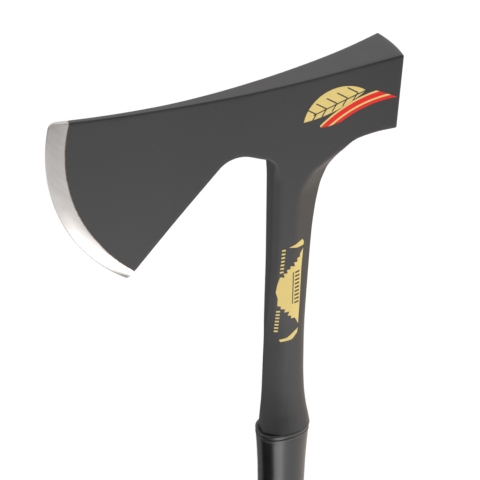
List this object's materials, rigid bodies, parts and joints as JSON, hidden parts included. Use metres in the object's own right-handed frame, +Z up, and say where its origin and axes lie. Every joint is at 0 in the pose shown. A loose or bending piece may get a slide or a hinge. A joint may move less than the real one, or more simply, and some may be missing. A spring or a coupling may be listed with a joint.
{
  "type": "camp axe",
  "caption": "Long-handled camp axe: forged steel head and shank in one piece, ground bit, flat poll and a moulded grip with a hanging hole.",
  "frame": {"origin": "centre of the grip's butt end", "axes": "+Z up the handle towards the head, -X towards the cutting edge, +X towards the poll, Y through the thickness"},
  "size_m": [0.1799, 0.0267, 0.6596],
  "materials": {
    "coated_steel": "satin black powder coat with a fine texture; the bit is ground bare",
    "ground_steel": "belt-ground bright steel",
    "grip_vinyl": "satin moulded black vinyl",
    "gold_film": "printed gold film, satin",
    "red_film": "printed red film, satin"
  },
  "bodies": {
    "root": {"axe_forging": "coated_steel", "grip": "grip_vinyl", "emblem_gold": "gold_film", "emblem_red": "red_film", "shank_label": "gold_film"}
  },
  "joints": []
}
